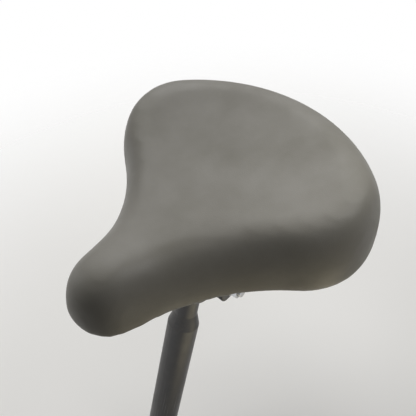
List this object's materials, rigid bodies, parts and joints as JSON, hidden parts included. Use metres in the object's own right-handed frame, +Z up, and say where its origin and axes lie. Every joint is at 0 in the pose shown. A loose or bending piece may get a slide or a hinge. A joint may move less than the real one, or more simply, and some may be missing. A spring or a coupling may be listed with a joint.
{
  "type": "bicycle saddle with seatpost",
  "caption": "Wide padded bicycle saddle with coil springs and bent wire rails, clamped on a black seatpost; the tilt and the rail position can be set.",
  "frame": {"origin": "centre of the seatpost's lower end, which the frame's seat tube takes in", "axes": "+X forwards along the bicycle, towards the saddle's nose; +Y to the bicycle's left; +Z up. The seatpost leans back by 20 degrees from upright"},
  "size_m": [0.2614, 0.244, 0.3947],
  "materials": {
    "cover": "matte smooth synthetic leather over foam, charcoal",
    "black_post": "satin black paint on steel",
    "black_clip": "satin black paint on pressed steel",
    "black_wire": "gloss black paint on steel wire",
    "spring_steel": "chromed spring wire",
    "zinc": "bright zinc plating",
    "base_plastic": "moulded, fine texture",
    "black_plastic": "moulded"
  },
  "bodies": {
    "seatpost": {"clip_band": "black_clip", "post_cap": "black_plastic", "post_plug": "black_plastic", "seatpost": "black_post"},
    "rail_clamp": {"cross_bolt": "zinc", "cross_nut": "zinc", "inner_plate_left": "black_clip", "inner_plate_right": "black_clip", "outer_plate_left": "black_clip", "outer_plate_right": "black_clip", "washer_left": "zinc", "washer_right": "zinc"},
    "saddle": {"base_shell": "base_plastic", "bridge_plate": "black_clip", "nose_screw_front": "zinc", "nose_screw_rear": "zinc", "nose_strap": "black_clip", "rails": "black_wire", "saddle_pad": "cover", "spring_left": "spring_steel", "spring_right": "spring_steel"}
  },
  "joints": [
    {"name": "saddle_tilt", "type": "hinge", "parent": "seatpost", "child": "rail_clamp", "pos_m": [-0.11712, 0, 0.25747], "axis": [0, 1, 0], "range_deg": [-15, 15]},
    {"name": "saddle_slide", "type": "slide", "parent": "rail_clamp", "child": "saddle", "axis": [1, 0, 0], "range_m": [-0.01, 0.01]}
  ]
}
